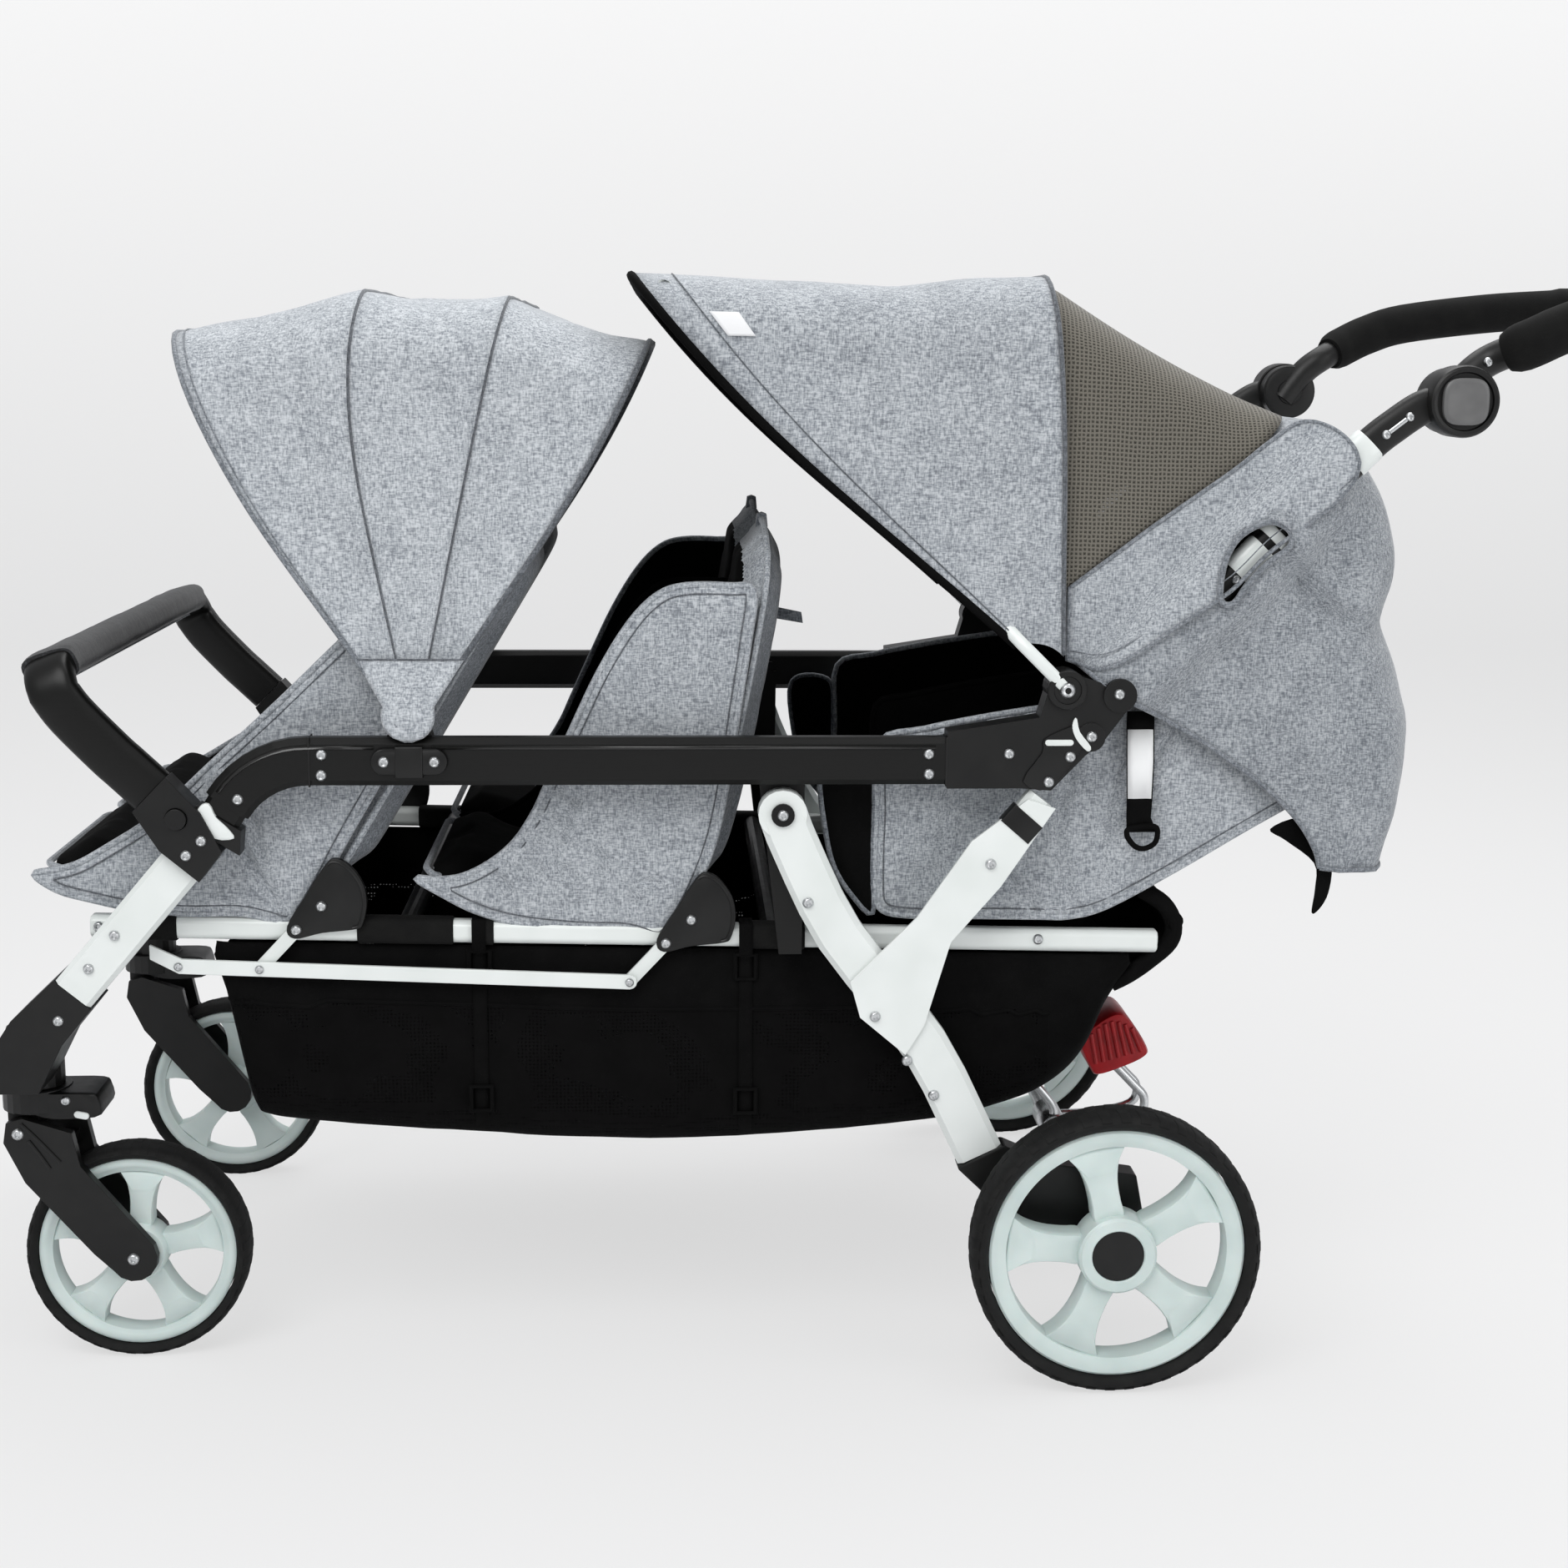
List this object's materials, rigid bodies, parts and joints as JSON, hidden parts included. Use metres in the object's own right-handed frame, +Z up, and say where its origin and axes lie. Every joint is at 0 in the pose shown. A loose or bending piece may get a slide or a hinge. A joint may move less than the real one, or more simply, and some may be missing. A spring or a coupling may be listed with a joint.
{
  "type": "six-seat stroller",
  "caption": "Long folding stroller with three rows of paired seats, two canopies, a tilting push handle, swivelling sprung front wheels and a basket underneath.",
  "frame": {"origin": "on the floor, at the middle of the whole length and width", "axes": "+X towards the push handle, -X towards the front seats, +Y to the right seats, +Z up"},
  "size_m": [1.6155, 0.746, 0.9704],
  "materials": {
    "white_enamel": "gloss powder coat",
    "black_plastic": "satin, fine grain",
    "pale_plastic": "satin, moulded",
    "tyre_rubber": "matt with tread blocks",
    "grip_foam": "matt skin",
    "zinc_plated_steel": "plated",
    "red_plastic": "moulded, ribbed",
    "grey_melange": "melange weave",
    "brown_mesh": "open mesh",
    "black_fabric": "plain weave"
  },
  "bodies": {
    "frame": {"rail_left": "black_plastic", "rail_right": "black_plastic", "rear_bracket_left": "black_plastic", "rear_bracket_right": "black_plastic", "front_joint_left": "black_plastic", "front_joint_right": "black_plastic", "front_leg_left": "white_enamel", "front_leg_right": "white_enamel", "caster_head_left": "black_plastic", "caster_head_right": "black_plastic", "seat_tube_left": "white_enamel", "seat_tube_right": "white_enamel", "handle_post_left": "white_enamel", "handle_post_right": "white_enamel", "front_cross_tube": "black_plastic", "rear_cross_tube": "black_plastic", "front_seat_pan": "grey_melange", "middle_seat_pan": "grey_melange", "rear_seat_pan": "grey_melange", "basket": "black_fabric", "front_canopy_rear": "grey_melange", "rear_hood_mesh": "brown_mesh", "rear_panel": "grey_melange"},
    "rear_frame": {"rear_leg_left": "white_enamel", "rear_leg_right": "white_enamel", "rear_leg_foot_left": "black_plastic", "rear_leg_foot_right": "black_plastic", "leg_brace_left": "white_enamel", "leg_brace_right": "white_enamel", "rear_axle": "zinc_plated_steel"},
    "brake": {"brake_pedal": "red_plastic"},
    "handle": {"handle_grip": "grip_foam"},
    "safety_bar": {"front_bar": "black_plastic"},
    "canopy_front_gore": {"front_canopy_front": "grey_melange"},
    "canopy_middle_gore": {"front_canopy_middle": "grey_melange"},
    "rear_canopy": {"rear_hood": "grey_melange"},
    "front_backs": {"front_seat_back_left": "grey_melange", "front_seat_back_right": "grey_melange"},
    "middle_backs": {"middle_seat_back_left": "grey_melange", "middle_seat_back_right": "grey_melange"},
    "link_bars": {"link_bar_left": "white_enamel", "link_bar_right": "white_enamel"},
    "caster_left": {"caster_swivel_left": "black_plastic"},
    "fork_left": {"caster_fork_left": "black_plastic"},
    "front_wheel_left": {"front_rim_left": "pale_plastic", "front_tyre_left": "tyre_rubber"},
    "rear_wheel_left": {"rear_rim_left": "pale_plastic", "rear_tyre_left": "tyre_rubber"},
    "handle_release_left": {"handle_button_left": "black_plastic"},
    "bar_release_left": {"bar_button_left": "black_plastic"},
    "rear_back_left": {"rear_seat_back_left": "grey_melange"},
    "caster_right": {"caster_swivel_right": "black_plastic"},
    "fork_right": {"caster_fork_right": "black_plastic"},
    "front_wheel_right": {"front_rim_right": "pale_plastic", "front_tyre_right": "tyre_rubber"},
    "rear_wheel_right": {"rear_rim_right": "pale_plastic", "rear_tyre_right": "tyre_rubber"},
    "handle_release_right": {"handle_button_right": "black_plastic"},
    "bar_release_right": {"bar_button_right": "black_plastic"},
    "rear_back_right": {"rear_seat_back_right": "grey_melange"}
  },
  "joints": [
    {"name": "caster_swivel_left", "type": "hinge", "parent": "frame", "child": "caster_left", "pos_m": [-0.778, -0.238, 0.252], "axis": [0, 0, 1], "continuous": true},
    {"name": "fork_spring_left", "type": "hinge", "parent": "caster_left", "child": "fork_left", "pos_m": [-0.789, -0.238, 0.215], "axis": [0, -1, 0], "range_deg": [0, 10], "stiffness_Nm_per_rad": 200, "springref_deg": -5},
    {"name": "front_wheel_spin_left", "type": "hinge", "parent": "fork_left", "child": "front_wheel_left", "pos_m": [-0.695, -0.238, 0.098], "axis": [0, 1, 0], "continuous": true},
    {"name": "rear_wheel_spin_left", "type": "hinge", "parent": "rear_frame", "child": "rear_wheel_left", "pos_m": [0.167, -0.3505, 0.127], "axis": [0, 1, 0], "continuous": true},
    {"name": "handle_release_press_left", "type": "slide", "parent": "frame", "child": "handle_release_left", "axis": [0, 1, 0], "range_m": [0, 0.004], "stiffness_N_per_m": 600, "springref_m": -0.002},
    {"name": "bar_release_press_left", "type": "slide", "parent": "frame", "child": "bar_release_left", "axis": [0, 1, 0], "range_m": [0, 0.003], "stiffness_N_per_m": 400, "springref_m": -0.002},
    {"name": "rear_back_lift_left", "type": "hinge", "parent": "frame", "child": "rear_back_left", "pos_m": [0.132, -0.132, 0.41], "axis": [0, -1, 0], "range_deg": [0, 45]},
    {"name": "caster_swivel_right", "type": "hinge", "parent": "frame", "child": "caster_right", "pos_m": [-0.778, 0.238, 0.252], "axis": [0, 0, 1], "continuous": true},
    {"name": "fork_spring_right", "type": "hinge", "parent": "caster_right", "child": "fork_right", "pos_m": [-0.789, 0.238, 0.215], "axis": [0, -1, 0], "range_deg": [0, 10], "stiffness_Nm_per_rad": 200, "springref_deg": -5},
    {"name": "front_wheel_spin_right", "type": "hinge", "parent": "fork_right", "child": "front_wheel_right", "pos_m": [-0.695, 0.238, 0.098], "axis": [0, 1, 0], "continuous": true},
    {"name": "rear_wheel_spin_right", "type": "hinge", "parent": "rear_frame", "child": "rear_wheel_right", "pos_m": [0.167, 0.3505, 0.127], "axis": [0, 1, 0], "continuous": true},
    {"name": "handle_release_press_right", "type": "slide", "parent": "frame", "child": "handle_release_right", "axis": [0, -1, 0], "range_m": [0, 0.004], "stiffness_N_per_m": 600, "springref_m": -0.002},
    {"name": "bar_release_press_right", "type": "slide", "parent": "frame", "child": "bar_release_right", "axis": [0, -1, 0], "range_m": [0, 0.003], "stiffness_N_per_m": 400, "springref_m": -0.002},
    {"name": "rear_back_lift_right", "type": "hinge", "parent": "frame", "child": "rear_back_right", "pos_m": [0.132, 0.132, 0.41], "axis": [0, -1, 0], "range_deg": [0, 45]},
    {"name": "rear_frame_fold", "type": "hinge", "parent": "frame", "child": "rear_frame", "pos_m": [-0.123, 0, 0.505], "axis": [0, 1, 0], "range_deg": [0, 70]},
    {"name": "brake_press", "type": "hinge", "parent": "rear_frame", "child": "brake", "pos_m": [0.167, 0, 0.127], "axis": [0, 1, 0], "range_deg": [0, 20]},
    {"name": "handle_tilt", "type": "hinge", "parent": "frame", "child": "handle", "pos_m": [0.448, 0, 0.857], "axis": [0, 1, 0], "range_deg": [-45, 75]},
    {"name": "safety_bar_pull", "type": "slide", "parent": "frame", "child": "safety_bar", "axis": [-0.7193, 0, 0.6947], "range_m": [0, 0.06]},
    {"name": "front_canopy_fold", "type": "hinge", "parent": "frame", "child": "canopy_front_gore", "pos_m": [-0.438, 0, 0.5655], "axis": [0, 1, 0], "range_deg": [0, 40]},
    {"name": "middle_gore_fold", "type": "hinge", "parent": "frame", "child": "canopy_middle_gore", "pos_m": [-0.438, 0, 0.5655], "axis": [0, 1, 0], "range_deg": [0, 20]},
    {"name": "rear_canopy_fold", "type": "hinge", "parent": "frame", "child": "rear_canopy", "pos_m": [0.118, 0, 0.613], "axis": [0, 1, 0], "range_deg": [0, 44]},
    {"name": "front_backs_fold", "type": "hinge", "parent": "frame", "child": "front_backs", "pos_m": [-0.52, 0, 0.419], "axis": [0, -1, 0], "range_deg": [0, 45]},
    {"name": "middle_backs_fold", "type": "hinge", "parent": "frame", "child": "middle_backs", "pos_m": [-0.201, 0, 0.405], "axis": [0, -1, 0], "range_deg": [0, 45]},
    {"name": "link_bar_swing", "type": "hinge", "parent": "front_backs", "child": "link_bars", "pos_m": [-0.57387, 0, 0.36399], "axis": [0, -1, 0], "range_deg": [-45, 0]}
  ],
  "couplings": [
    {"joint": "middle_gore_fold", "follows": "front_canopy_fold", "ratio": 0.5},
    {"joint": "middle_backs_fold", "follows": "front_backs_fold", "ratio": 1},
    {"joint": "link_bar_swing", "follows": "front_backs_fold", "ratio": -1}
  ]
}
